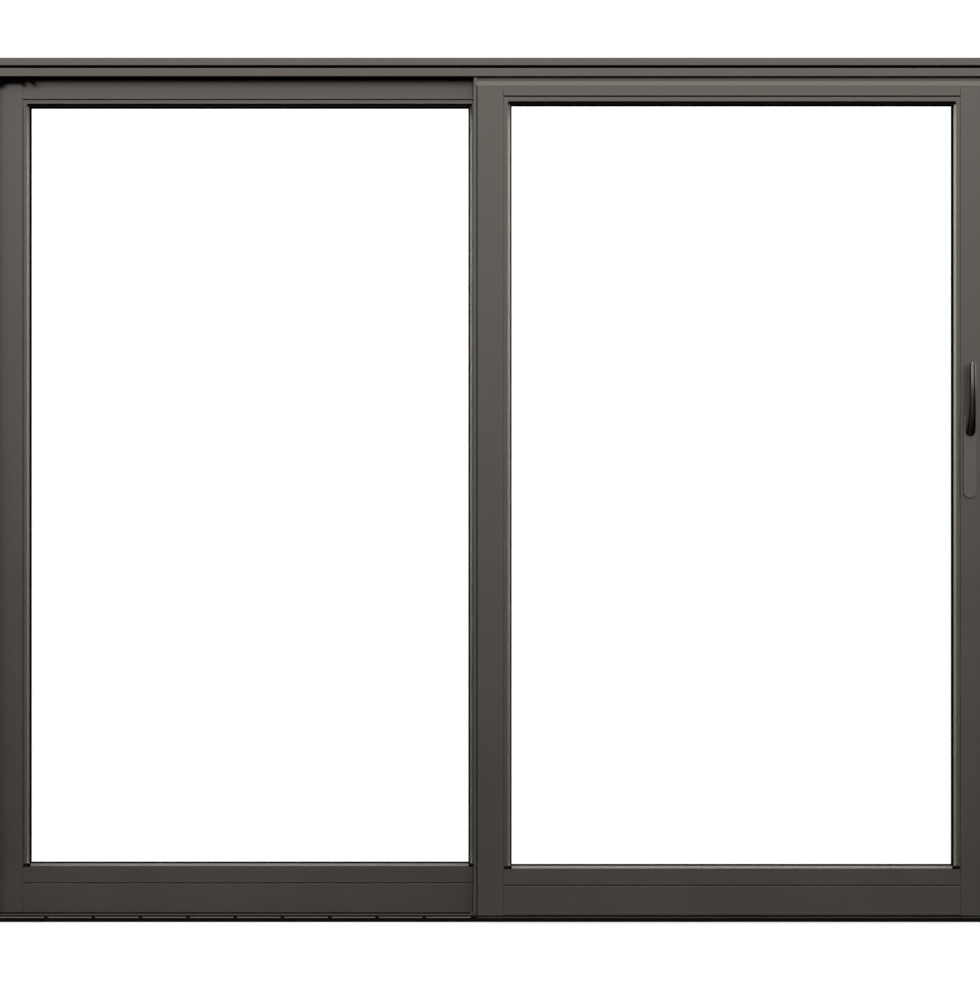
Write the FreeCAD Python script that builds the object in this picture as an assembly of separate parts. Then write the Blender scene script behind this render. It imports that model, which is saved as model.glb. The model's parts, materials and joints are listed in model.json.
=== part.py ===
import FreeCAD, Part
import math
import os

# Sliding patio door with a fixed left panel and a sliding right panel, seen from the room.
# X runs to the right, Y runs outwards through the wall and Z runs up. Sizes are in millimetres.
# The origin is the middle of the sill's underside.

Vector = FreeCAD.Vector

# Whole door
frame_width = 2419.0
frame_height = 2019.0
frame_depth = 116.0

# Jamb and head extrusions
frame_box = 18.4  # hollow outer box, seen as the outermost face
reveal_gap = 6.6  # groove between the outermost face and the fascia
fascia_width = 19.3
frame_wall = 1.8
frame_leg = 3.0  # leg that covers a panel from outside
middle_leg = 2.0  # leg between the two panel channels
stem_thickness = 1.6  # thin stems that carry the fascias and guide the panel
fascia_wall = 1.6
fascia_web_setback = 2.4  # jamb web behind its fascia
fascia_depth = 11.7
head_fin_drop = 19.6  # how far the head's guide fin hangs below the head's box
middle_leg_drop = 15.6
box_chambers = 3

# Panels
panel_thickness = 42.0
panel_setback = 9.0  # from the front of the frame to the front of the sliding panel
track_spacing = 61.0  # from the sliding panel to the fixed panel
panel_side_gap = 10.1  # from the jamb's box to the edge of a panel
outer_stile_width = 81.0
meeting_stile_width = 69.7
meeting_overlap = 38.1  # how far each meeting stile reaches past the middle
panel_wall = 2.2
slide_top_gap = 21.7  # from the fascia down to the top of the sliding panel
fixed_top_gap = 1.3
top_rail_height = 22.1
bottom_rail_face = 67.0
bottom_rail_neck = 29.0  # rail behind the bottom bead
roller_pocket_height = 42.0
stile_foot_gap = 2.0  # how far a sliding stile hangs below its bottom rail
track_notch_width = 20.0
track_notch_height = 6.5

# Step in the sliding meeting stile's front
edge_strip_width = 6.5
edge_strip_setback = 1.5
edge_groove_width = 2.2
edge_groove_depth = 4.5

# Interlock hooks between the meeting stiles
hook_wall = 1.6
hook_return_wall = 2.0
hook_base_reach = 16.0
hook_stem_offset = 13.5  # from the interlock's middle to the outside of each hook's stem
interlock_middle = -6.5
hook_return_length = 18.0
hook_reach = 14.0
hook_end_gap = 10.0

# Glazing
glass_front_setback = 17.0
pane_thickness = 5.0
pane_spacing = 9.5
glass_edge_gap = 4.0
setting_block_height = 6.0
setting_block_length = 100.0
spacer_width = 8.0
glazing_leg = 4.0
bead_width = 15.5
top_bead_height = 20.4
bottom_bead_height = 46.5
bead_depth = 13.7
bead_wall = 1.5
bead_bevel_width = 5.5
bead_bevel_depth = 6.0
bead_clip_depth = 4.5
side_bead_gap = 1.8
top_bead_gap = 3.0
bottom_bead_gap = 1.8
gasket_lip = 3.6  # gasket seen beside the bead
gasket_cover = 9.5  # gasket hidden under the bead
tape_setback = 1.0

# Sill
sill_web = 3.0
sill_step_height = 15.7
sill_nosing_height = 26.0
sill_lip_setback = 1.8
sill_lip_thickness = 2.0
sill_lip_height = 12.1
base_strip_height = 8.9
base_strip_thickness = 1.5
weep_slot_length = 30.0
weep_slot_height = 5.0
weep_slot_foot = 4.5  # above the sill's underside
weep_slot_pitch = 380.0
weep_slots = 6
sill_chambers = 3
track_groove = 3.2
track_fin = 1.6
track_fin_height = 8.0
track_stem = 2.6
track_cap_width = 6.0
track_cap_thickness = 3.0
track_drop = 0.2  # how far the track lies below the sill's step

# Drain cover and plug on the sill's front lip
cover_height = 13.2
cover_start = 9.0
cover_bevel_height = 3.2
cover_bevel_depth = 1.4
drain_slot_pitch = 110.5
drain_slot_width = 7.0
drain_slot_depth = 2.0
first_drain_slot = 126.9  # from the left jamb's fascia
plug_width = 16.0
plug_height = 14.0

# Top guide of the sliding panel
guide_strip_height = 11.3
guide_strip_lip = 1.0
guide_bevel = 4.0
guide_tongue_width = 20.0
guide_tongue_height = 36.7
guide_wall = 1.6

# Rollers
wheel_radius = 16.0
wheel_groove = 2.0
wheel_width = 10.0
wheel_groove_width = 7.6
axle_radius = 3.0
axle_length = 26.0
axle_clearance = 0.05
housing_length = 90.0
housing_wall = 2.5
housing_width = 24.0
housing_foot_gap = 6.5
roller_place = 80.0  # from a stile to the middle of its roller

# Handle
handle_height = 1144.7  # lever pivot above the sill's underside
handle_inset = 58.8  # lever pivot from the sliding panel's right edge
plate_width = 32.5
plate_top = 43.0  # plate above the pivot
plate_bottom = 155.9  # plate below the pivot
plate_thickness = 6.0
plate_edge = 1.8
hub_radius = 11.3
hub_depth = 12.0
lever_reach = 4.0  # straight stretch out of the plate
lever_length = 164.8
lever_width = 16.6
lever_thickness = 10.5
lever_bevel = 3.0
lever_elbow_radius = 34.0
lever_elbow_turn = 62.0  # degrees
lever_rise_radius = 150.0  # slower bend from the elbow until the lever stands upright
lever_lean_radius = 310.0  # gentle bend that leans the top back towards the door

# Lock faceplate and keeper
faceplate_length = 180.0
faceplate_width = 18.0
faceplate_thickness = 2.0
keeper_length = 200.0
keeper_width = 20.0
keyway_length = 70.0
keyway_width = 7.0
round_end_flat = 1.0  # straight bit left between the two arcs of a round end

# Head stop
stop_block_length = 66.0
stop_arm_length = 37.0
stop_depth = 28.0
stop_height = 41.3
stop_toe_length = 24.0  # lower stretch of the block beside the jamb
stop_toe_drop = 4.0
stop_bump_length = 10.0  # lower bump where the arm starts
stop_bump_drop = 3.5
stop_arm_rise = 4.5  # hollow under the arm
stop_foot_length = 15.0
stop_foot_slope = 7.0
stop_foot_drop = 2.5
stop_foot_rise = 18.0
stop_slit_rise = 10.7
stop_slit_height = 1.8
stop_edge = 2.0

# Screw holes through the jambs
screw_radius = 2.75
screw_spacing = 1200.0
screw_height = 1000.0

# Edges and clearances
soft_edge = 1.2
small_edge = 0.8
seat_gap = 0.3  # between pieces that stand on or clip to each other
joint_gap = 0.2  # between the cut ends of extrusions
middle_leg_gap = 1.3  # from the middle leg to the fixed panel
past = 1.0  # how far a cut reaches past what it cuts

# Planes that several pieces share
front = -frame_depth / 2
back = frame_depth / 2
half_width = frame_width / 2
box_inner = half_width - frame_box
opening_half = box_inner - reveal_gap - fascia_width
head_under = frame_height - frame_box
fascia_top = head_under - reveal_gap
fascia_bottom = fascia_top - fascia_width
slide_front = front + panel_setback
slide_back = slide_front + panel_thickness
fixed_front = slide_front + track_spacing
track_centre = slide_front + panel_thickness / 2
middle_leg_back = fixed_front - middle_leg_gap
panel_edge = box_inner - panel_side_gap
outer_stile_inner = panel_edge - outer_stile_width
meeting_stile_inner = meeting_stile_width - meeting_overlap
panel_base = sill_step_height + seat_gap
slide_top = fascia_bottom - slide_top_gap
fixed_top = fascia_bottom - fixed_top_gap
rail_underside = slide_top - top_rail_height
bead_shelf = panel_base + bottom_rail_face
rail_neck_top = bead_shelf + bottom_rail_neck
sight_bottom = bead_shelf + bottom_bead_height
sight_top = rail_underside - top_bead_height
glass_bottom = rail_neck_top + setting_block_height
glass_top = rail_underside - glass_edge_gap
glass_left = meeting_stile_inner + glass_edge_gap
glass_right = outer_stile_inner - glass_edge_gap
glass_front = slide_front + glass_front_setback
glass_back = glass_front + 2 * pane_thickness + pane_spacing
bead_back = slide_front + bead_depth
glazing_leg_front = slide_back - glazing_leg
track_top = sill_step_height - track_drop
handle_x = panel_edge - handle_inset
plate_front = slide_front - plate_thickness
plug_left = -meeting_overlap - plug_width / 2
plug_right = plug_left + plug_width
roller_middles = (meeting_stile_inner + roller_place, outer_stile_inner - roller_place)
axle_height = track_top + seat_gap + wheel_radius - wheel_groove


# Closed outline through corners (u, v) or (u, v, radius), with each radius as an arc
def rounded_wire(corners, place):
    full = [corner if len(corner) == 3 else (corner[0], corner[1], 0.0) for corner in corners]
    turns = []
    for index, (u, v, radius) in enumerate(full):
        here = Vector(u, v, 0)
        before = Vector(full[index - 1][0], full[index - 1][1], 0) - here
        after = Vector(full[(index + 1) % len(full)][0], full[(index + 1) % len(full)][1], 0) - here
        if radius == 0:
            turns.append((here, None, here))
            continue
        before.normalize()
        after.normalize()
        half_angle = before.getAngle(after) / 2
        reach = radius / math.tan(half_angle)
        towards_centre = (before + after).normalize()
        middle = here + towards_centre * (radius / math.sin(half_angle) - radius)
        turns.append((here + before * reach, middle, here + after * reach))
    edges = []
    for index, (start, middle, end) in enumerate(turns):
        if middle is not None:
            edges.append(Part.Arc(place(start), place(middle), place(end)).toShape())
        next_start = turns[(index + 1) % len(turns)][0]
        if end.distanceToPoint(next_start) > 1e-6:
            edges.append(Part.LineSegment(place(end), place(next_start)).toShape())
    return Part.Wire(edges)


# The same outline moved inwards by a wall's thickness, with sharp corners
def inset(corners, wall):
    points = [Vector(corner[0], corner[1], 0) for corner in corners]
    doubled_area = sum(a.x * b.y - b.x * a.y for a, b in zip(points, points[1:] + points[:1]))
    turn = 1 if doubled_area > 0 else -1
    moved = []
    for index, here in enumerate(points):
        arriving = (here - points[index - 1]).normalize()
        leaving = (points[(index + 1) % len(points)] - here).normalize()
        inward_before = Vector(-arriving.y, arriving.x, 0) * turn
        inward_after = Vector(-leaving.y, leaving.x, 0) * turn
        shift = (inward_before + inward_after) * (wall / (1 + inward_before.dot(inward_after)))
        moved.append((here.x + shift.x, here.y + shift.y))
    return moved


def rectangle(u_from, u_to, v_from, v_to, radius=0.0):
    return [(u_from, v_from, radius), (u_to, v_from, radius), (u_to, v_to, radius), (u_from, v_to, radius)]


# Extrusion of an outline, less the outlines of its hollows
def swept(corners, hollows, place, run):
    solid = Part.Face(rounded_wire(corners, place)).extrude(run)
    for hollow in hollows:
        solid = solid.cut(Part.Face(rounded_wire(hollow, place)).extrude(run))
    return solid


# Outline in (Y, Z), run along X
def along_x(corners, x_from, x_to, hollows=()):
    return swept(corners, hollows, lambda p: Vector(x_from, p.x, p.y), Vector(x_to - x_from, 0, 0))


# Outline in (X, Z), run along Y
def along_y(corners, y_from, y_to, hollows=()):
    return swept(corners, hollows, lambda p: Vector(p.x, y_from, p.y), Vector(0, y_to - y_from, 0))


# Outline in (X, Y), run along Z
def along_z(corners, z_from, z_to, hollows=()):
    return swept(corners, hollows, lambda p: Vector(p.x, p.y, z_from), Vector(0, 0, z_to - z_from))


def block(x_from, x_to, y_from, y_to, z_from, z_to):
    return Part.makeBox(x_to - x_from, y_to - y_from, z_to - z_from, Vector(x_from, y_from, z_from))


# Equal hollows side by side along v, with a wall round each
def chambers(u_from, u_to, v_from, v_to, count, wall):
    pitch = (v_to - v_from - wall) / count
    rows = []
    for index in range(count):
        start = v_from + wall + index * pitch
        rows.append(rectangle(u_from + wall, u_to - wall, start, start + pitch - wall))
    return rows


def mirrored(shape):
    return shape.mirror(Vector(0, 0, 0), Vector(1, 0, 0))


# The same piece in the fixed panel: mirrored to the left and set back into the outer channel
def in_fixed_panel(shape):
    moved = mirrored(shape)
    moved.translate(Vector(0, track_spacing, 0))
    return moved


def ring(x_from, x_to, z_from, z_to, width, y_from, y_to):
    outline = rectangle(x_from, x_to, z_from, z_to)
    return along_y(outline, y_from, y_to, [inset(outline, width)])


def save(name, *solids):
    shape = solids[0] if len(solids) == 1 else Part.makeCompound(list(solids))
    shape.exportStep(f"parts/{name}.step")


# Right jamb: a hollow box against the wall, a web for the fascia and two legs that form the panel channels
def right_jamb():
    web_front = front + fascia_web_setback
    web_back = web_front + stem_thickness
    web_tip = opening_half + fascia_wall + seat_gap
    middle_leg_front = middle_leg_back - middle_leg
    cover_leg_front = back - frame_leg
    outline = [
        (half_width, front, soft_edge),
        (box_inner, front, small_edge),
        (box_inner, web_front),
        (web_tip, web_front),
        (web_tip, web_back),
        (box_inner, web_back),
        (box_inner, middle_leg_front),
        (opening_half, middle_leg_front),
        (opening_half, middle_leg_back),
        (box_inner, middle_leg_back),
        (box_inner, cover_leg_front),
        (opening_half, cover_leg_front),
        (opening_half, back, small_edge),
        (half_width, back, soft_edge),
    ]
    hollows = chambers(box_inner, half_width, front, back, box_chambers, frame_wall)
    jamb = along_z(outline, 0, frame_height, hollows)
    legs_foot = sill_nosing_height + seat_gap
    jamb = jamb.cut(block(opening_half - past, box_inner, front - past, back + past, -past, legs_foot))
    corner = frame_box + reveal_gap + fascia_width + past
    above_mitre = [
        (half_width + past, frame_height + past),
        (half_width - corner, frame_height + past),
        (half_width - corner, frame_height - corner),
    ]
    return jamb.cut(along_y(above_mitre, front - past, back + past))


# Screw holes through both walls of a jamb's box, in the channel that holds no panel
def screw_holes(channel_middle):
    holes = []
    for step in (-0.5, 0.5):
        start = Vector(box_inner - past, channel_middle, screw_height + step * screw_spacing)
        holes.append(Part.makeCylinder(screw_radius, frame_box + 2 * past, start, Vector(1, 0, 0)))
    return Part.makeCompound(holes)


# Snap-on cover of the right jamb, mitred to the head's fascia
def right_jamb_fascia():
    tip = opening_half + fascia_width
    web_front = front + fascia_web_setback
    web_back = web_front + stem_thickness
    outline = [
        (opening_half, front, soft_edge),
        (tip, front, small_edge),
        (tip, web_front - seat_gap),
        (tip - fascia_wall, web_front - seat_gap),
        (tip - fascia_wall, front + fascia_wall),
        (opening_half + fascia_wall, front + fascia_wall),
        (opening_half + fascia_wall, web_back),
        (opening_half, web_back, small_edge),
    ]
    fascia = along_z(outline, cover_height + seat_gap, fascia_top)
    above_mitre = [
        (tip + past, fascia_top + past),
        (opening_half - past, fascia_top + past),
        (opening_half - past, fascia_bottom - past),
    ]
    return fascia.cut(along_y(above_mitre, front - past, web_back + past))


# Head: the jamb's box turned over, with a stem for the fascia and a fin that guides the sliding panel
def head():
    stem_front = front + fascia_depth + seat_gap
    stem_back = stem_front + stem_thickness
    fin_back = 2 * track_centre - stem_front
    fin_front = fin_back - stem_thickness
    middle_leg_front = middle_leg_back - middle_leg
    cover_leg_front = back - frame_leg
    outline = [
        (front, frame_height, soft_edge),
        (front, head_under, small_edge),
        (stem_front, head_under),
        (stem_front, fascia_bottom + fascia_wall),
        (stem_back, fascia_bottom + fascia_wall),
        (stem_back, head_under),
        (fin_front, head_under),
        (fin_front, head_under - head_fin_drop),
        (fin_back, head_under - head_fin_drop),
        (fin_back, head_under),
        (middle_leg_front, head_under),
        (middle_leg_front, head_under - middle_leg_drop),
        (middle_leg_back, head_under - middle_leg_drop),
        (middle_leg_back, head_under),
        (cover_leg_front, head_under),
        (cover_leg_front, fascia_bottom),
        (back, fascia_bottom, small_edge),
        (back, frame_height, soft_edge),
    ]
    pitch = (frame_depth - frame_wall) / box_chambers
    hollows = []
    for index in range(box_chambers):
        start = front + frame_wall + index * pitch
        hollows.append(
            rectangle(start, start + pitch - frame_wall, head_under + frame_wall, frame_height - frame_wall)
        )
    bar = along_x(outline, -half_width, half_width, hollows)
    corner = frame_box + reveal_gap + fascia_width + past
    between_mitres = [
        (-half_width, frame_height),
        (half_width, frame_height),
        (half_width - corner, frame_height - corner),
        (corner - half_width, frame_height - corner),
    ]
    return bar.common(along_y(between_mitres, front - past, back + past))


# Hollow fascia below the head's reveal groove
def head_fascia():
    outline = [
        (front, fascia_bottom, soft_edge),
        (front, fascia_top, small_edge),
        (front + fascia_depth, fascia_top),
        (front + fascia_depth, fascia_bottom),
    ]
    reach = opening_half + fascia_width
    bar = along_x(outline, -reach, reach, [inset(outline, fascia_wall)])
    between_mitres = [
        (-reach, fascia_top),
        (reach, fascia_top),
        (opening_half - past, fascia_bottom - past),
        (past - opening_half, fascia_bottom - past),
    ]
    return bar.common(along_y(between_mitres, front - past, front + fascia_depth + past))


# Sill: front lip, groove for the roller track, hollow step for the fixed panel, outer nosing and weep slots
def sill():
    lip_front = front + sill_lip_setback
    lip_back = lip_front + sill_lip_thickness
    groove_front = track_centre - track_groove / 2
    groove_back = track_centre + track_groove / 2
    step_front = middle_leg_back - middle_leg
    nosing_front = back - frame_leg
    outline = [
        (lip_front, 0),
        (lip_front, sill_lip_height, small_edge),
        (lip_back, sill_lip_height, small_edge),
        (lip_back, sill_web),
        (groove_front - track_fin, sill_web),
        (groove_front - track_fin, track_fin_height),
        (groove_front, track_fin_height),
        (groove_front, sill_web),
        (groove_back, sill_web),
        (groove_back, track_fin_height),
        (groove_back + track_fin, track_fin_height),
        (groove_back + track_fin, sill_web),
        (step_front, sill_web),
        (step_front, sill_step_height, small_edge),
        (nosing_front, sill_step_height),
        (nosing_front, sill_nosing_height, small_edge),
        (back, sill_nosing_height, small_edge),
        (back, 0),
    ]
    chamber = (nosing_front - step_front) / sill_chambers
    hollows = []
    for index in range(sill_chambers):
        start = step_front + index * chamber
        hollows.append(rectangle(start + frame_wall, start + chamber, frame_wall, sill_step_height - frame_wall))
    end = box_inner - seat_gap
    bar = along_x(outline, -end, end, hollows)
    slots = []
    for index in range(weep_slots):
        middle = (index - (weep_slots - 1) / 2) * weep_slot_pitch
        slots.append(
            block(
                middle - weep_slot_length / 2,
                middle + weep_slot_length / 2,
                nosing_front - frame_wall,
                back + past,
                weep_slot_foot,
                weep_slot_foot + weep_slot_height,
            )
        )
    return bar.cut(Part.makeCompound(slots))


# Rail that the rollers run on, standing in the sill's groove
def roller_track():
    stem = track_stem / 2
    cap = track_cap_width / 2
    cap_under = track_top - track_cap_thickness
    outline = [
        (track_centre - stem, sill_web + seat_gap),
        (track_centre + stem, sill_web + seat_gap),
        (track_centre + stem, cap_under),
        (track_centre + cap, cap_under),
        (track_centre + cap, track_top, soft_edge),
        (track_centre - cap, track_top, soft_edge),
        (track_centre - cap, cap_under),
        (track_centre - stem, cap_under),
    ]
    end = box_inner - seat_gap
    return along_x(outline, -end, end)


def base_strip(x_from, x_to):
    strip_back = front + base_strip_thickness
    outline = [
        (front, 0),
        (front, base_strip_height, small_edge / 2),
        (strip_back, base_strip_height),
        (strip_back, 0),
    ]
    return along_x(outline, x_from, x_to)


# Bevelled cover over the front lip of the empty channel, with a row of drain slots
def drain_cover():
    lip_front = front + sill_lip_setback
    lip_back = lip_front + sill_lip_thickness
    under = sill_lip_height + joint_gap
    outline = [
        (front, cover_start),
        (front, cover_height - cover_bevel_height),
        (front + cover_bevel_depth, cover_height),
        (lip_back + joint_gap, cover_height),
        (lip_back + joint_gap, under),
        (lip_front - joint_gap, under),
        (lip_front - joint_gap, cover_start),
    ]
    start = -opening_half + seat_gap
    cover = along_x(outline, start, plug_left - joint_gap)
    slots = []
    slot_left = first_drain_slot - opening_half
    while slot_left + drain_slot_width < plug_left:
        slot_right = slot_left + drain_slot_width
        slot_back = front + drain_slot_depth
        slots.append(block(slot_left, slot_right, front - past, slot_back, 0, cover_height + past))
        slot_left += drain_slot_pitch
    return cover.cut(Part.makeCompound(slots))


# Black plug that closes the sill's front below the meeting stiles
def sill_plug():
    lip_front = front + sill_lip_setback
    lip_back = lip_front + sill_lip_thickness
    outline = [
        (front, 0),
        (front, plug_height, soft_edge),
        (lip_back + joint_gap, plug_height, small_edge),
        (lip_back + joint_gap, sill_lip_height + joint_gap),
        (lip_front - seat_gap, sill_lip_height + joint_gap),
        (lip_front - seat_gap, 0),
    ]
    return along_x(outline, plug_left, plug_right)


# Stop in the head over the empty channel: a block, and a spring arm with a foot for the panel's corner
def head_stop():
    left = -opening_half
    block_end = left + stop_block_length
    arm_end = block_end + stop_arm_length
    top = head_under - seat_gap
    bottom = top - stop_height
    toe_end = left + stop_toe_length
    bump_end = block_end + stop_bump_length
    foot_start = arm_end - stop_foot_length
    outline = [
        (left, top),
        (left, bottom - stop_toe_drop, stop_edge),
        (toe_end - stop_edge, bottom - stop_toe_drop),
        (toe_end, bottom),
        (block_end - stop_edge / 2, bottom),
        (block_end, bottom - stop_bump_drop),
        (bump_end - stop_edge, bottom - stop_bump_drop, stop_edge),
        (bump_end, bottom + stop_arm_rise, stop_edge),
        (foot_start, bottom + stop_arm_rise, stop_edge),
        (foot_start + stop_foot_slope, bottom - stop_foot_drop, stop_edge),
        (arm_end, bottom - stop_foot_drop, stop_edge),
        (arm_end, bottom + stop_foot_rise, stop_edge),
        (foot_start + stop_edge, bottom + stop_foot_rise + stop_edge),
        (foot_start + stop_edge, top),
    ]
    slit_bottom = bottom + stop_slit_rise
    slit = rectangle(block_end + stop_edge, foot_start, slit_bottom, slit_bottom + stop_slit_height)
    middle = track_centre
    return along_y(outline, middle - stop_depth / 2, middle + stop_depth / 2, [slit])


# Filler between the top of the fixed panel and the head
def fixed_head_filler():
    filler_back = fixed_front + panel_thickness
    outline = rectangle(fixed_front, filler_back, fixed_top + seat_gap, head_under - seat_gap)
    return along_x(outline, -panel_edge, meeting_overlap, [inset(outline, fascia_wall)])


# Slot for the lock's hook, cut through a faceplate or a keeper
def lock_slot(x_from, x_to):
    slot = rectangle(
        track_centre - keyway_width / 2,
        track_centre + keyway_width / 2,
        handle_height - keyway_length / 2,
        handle_height + keyway_length / 2,
        (keyway_width - round_end_flat) / 2,
    )
    return along_x(slot, x_from - past, x_to + past)


def lock_plate(x_from, width, length):
    outline = rectangle(
        track_centre - width / 2,
        track_centre + width / 2,
        handle_height - length / 2,
        handle_height + length / 2,
        (width - round_end_flat) / 2,
    )
    x_to = x_from + faceplate_thickness
    return along_x(outline, x_from, x_to).cut(lock_slot(x_from, x_to))


# A stile's glazing leg is cut away where the rails butt against the stile
def clear_of_rails(stile, leg_from, leg_to, foot, top):
    leg_front = glazing_leg_front - past
    leg_back = slide_back + past
    below = block(leg_from, leg_to, leg_front, leg_back, foot - past, sight_bottom + joint_gap)
    above = block(leg_from, leg_to, leg_front, leg_back, sight_top - joint_gap, top + past)
    return stile.cut(below).cut(above)


# Outer stile: hollow box with a leg behind the glass
def outer_stile(foot, top):
    leg_tip = outer_stile_inner - bead_width
    outline = [
        (outer_stile_inner, slide_front, soft_edge),
        (panel_edge, slide_front, soft_edge),
        (panel_edge, slide_back, soft_edge),
        (leg_tip, slide_back, small_edge),
        (leg_tip, glazing_leg_front),
        (outer_stile_inner, glazing_leg_front),
    ]
    hollow = inset(rectangle(outer_stile_inner, panel_edge, slide_front, slide_back), panel_wall)
    stile = along_z(outline, foot, top, [hollow])
    return clear_of_rails(stile, leg_tip - past, outer_stile_inner, foot, top)


# Meeting stile: hollow box with a stepped strip along its free edge and a leg behind the glass
def meeting_stile(foot, top):
    edge = -meeting_overlap
    groove_left = edge + edge_strip_width
    groove_right = groove_left + edge_groove_width
    leg_tip = meeting_stile_inner + bead_width
    outline = [
        (edge, slide_back, soft_edge),
        (edge, slide_front + edge_strip_setback, small_edge),
        (groove_left, slide_front + edge_strip_setback, small_edge),
        (groove_left, slide_front + edge_groove_depth),
        (groove_right, slide_front + edge_groove_depth),
        (groove_right, slide_front, soft_edge),
        (meeting_stile_inner, slide_front, soft_edge),
        (meeting_stile_inner, glazing_leg_front),
        (leg_tip, glazing_leg_front),
        (leg_tip, slide_back, small_edge),
    ]
    groove_wall = slide_front + edge_groove_depth + panel_wall
    hollow = [
        (edge + panel_wall, slide_back - panel_wall),
        (edge + panel_wall, groove_wall),
        (groove_right + panel_wall, groove_wall),
        (groove_right + panel_wall, slide_front + panel_wall),
        (meeting_stile_inner - panel_wall, slide_front + panel_wall),
        (meeting_stile_inner - panel_wall, slide_back - panel_wall),
    ]
    stile = along_z(outline, foot, top, [hollow])
    return clear_of_rails(stile, meeting_stile_inner, leg_tip + past, foot, top)


# Foot of a sliding stile, cut out over the roller track
def straddling_track(stile, foot):
    notch_front = track_centre - track_notch_width / 2
    notch_back = notch_front + track_notch_width
    notch_top = track_top + track_notch_height
    return stile.cut(block(-half_width, half_width, notch_front, notch_back, foot - past, notch_top))


def top_rail(top):
    outline = [
        (slide_front, top, soft_edge),
        (slide_back, top, soft_edge),
        (slide_back, sight_top, small_edge),
        (glazing_leg_front, sight_top),
        (glazing_leg_front, rail_underside),
        (slide_front, rail_underside, soft_edge),
    ]
    hollow = inset(rectangle(slide_front, slide_back, rail_underside, top), panel_wall)
    return along_x(outline, meeting_stile_inner + joint_gap, outer_stile_inner - joint_gap, [hollow])


# Bottom rail: open pocket for the rollers, two hollows above it and a narrow neck behind the tall bead
def bottom_rail():
    neck_front = slide_front + bead_depth + seat_gap
    outline = [
        (slide_front, panel_base),
        (slide_front, bead_shelf, soft_edge),
        (neck_front, bead_shelf),
        (neck_front, rail_neck_top),
        (glazing_leg_front, rail_neck_top),
        (glazing_leg_front, sight_bottom),
        (slide_back, sight_bottom, small_edge),
        (slide_back, panel_base),
    ]
    inner_front = slide_front + panel_wall
    inner_back = slide_back - panel_wall
    pocket_top = panel_base + roller_pocket_height
    hollows = [
        rectangle(inner_front, inner_back, panel_base - past, pocket_top),
        rectangle(inner_front, inner_back, pocket_top + panel_wall, bead_shelf - panel_wall),
        rectangle(neck_front + panel_wall, inner_back, bead_shelf, rail_neck_top - panel_wall),
    ]
    return along_x(outline, meeting_stile_inner + joint_gap, outer_stile_inner - joint_gap, hollows)


# Section of a glazing bead: u runs from its carrier towards the glass, v runs from front to back
def bead_section(width, gap):
    return [
        (gap, 0, soft_edge),
        (width - bead_bevel_width, 0),
        (width, bead_bevel_depth),
        (width, bead_depth),
        (seat_gap, bead_depth),
        (seat_gap, bead_clip_depth),
        (gap, bead_clip_depth),
    ]


# The section's corners moved to their place by a function of (u, v)
def put(section, place):
    return [place(corner[0], corner[1]) + tuple(corner[2:]) for corner in section]


def side_beads():
    section = bead_section(bead_width, side_bead_gap)
    left = put(section, lambda u, v: (meeting_stile_inner + u, slide_front + v))
    right = put(section, lambda u, v: (outer_stile_inner - u, slide_front + v))
    foot = sight_bottom + joint_gap
    top = sight_top - joint_gap
    return [along_z(outline, foot, top, [inset(outline, bead_wall)]) for outline in (left, right)]


def top_bead():
    section = bead_section(top_bead_height, top_bead_gap)
    outline = put(section, lambda u, v: (slide_front + v, rail_underside - u))
    start = meeting_stile_inner + joint_gap
    return along_x(outline, start, outer_stile_inner - joint_gap, [inset(outline, bead_wall)])


def bottom_bead():
    section = bead_section(bottom_bead_height, bottom_bead_gap)
    outline = put(section, lambda u, v: (slide_front + v, bead_shelf + u))
    start = meeting_stile_inner + joint_gap
    return along_x(outline, start, outer_stile_inner - joint_gap, [inset(outline, bead_wall)])


# Two panes of an insulating unit
def glass():
    inner = block(glass_left, glass_right, glass_front, glass_front + pane_thickness, glass_bottom, glass_top)
    outer = block(glass_left, glass_right, glass_back - pane_thickness, glass_back, glass_bottom, glass_top)
    return [inner, outer]


def spacer():
    y_from = glass_front + pane_thickness
    inset_by = tape_setback
    return ring(
        glass_left + inset_by,
        glass_right - inset_by,
        glass_bottom + inset_by,
        glass_top - inset_by,
        spacer_width,
        y_from,
        y_from + pane_spacing,
    )


# Gasket between bead and glass, and glazing tape between glass and outer leg
def gaskets():
    reach = bead_width + gasket_lip
    left = meeting_stile_inner + reach - gasket_cover - gasket_lip
    right = outer_stile_inner - reach + gasket_cover + gasket_lip
    bottom = sight_bottom - gasket_cover
    top = sight_top + gasket_cover
    inner = ring(left, right, bottom, top, gasket_cover + gasket_lip, bead_back, glass_front)
    leg_tip = bead_width - tape_setback
    width = leg_tip - glass_edge_gap
    tape = ring(
        glass_left,
        glass_right,
        sight_bottom - tape_setback - width,
        sight_top + tape_setback + width,
        width,
        glass_back,
        glazing_leg_front,
    )
    return [inner, tape]


def setting_blocks():
    quarter = (glass_right - glass_left) / 4
    blocks = []
    for middle in (glass_left + quarter, glass_right - quarter):
        blocks.append(
            block(
                middle - setting_block_length / 2,
                middle + setting_block_length / 2,
                glass_front,
                glass_back,
                rail_neck_top,
                glass_bottom,
            )
        )
    return blocks


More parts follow.
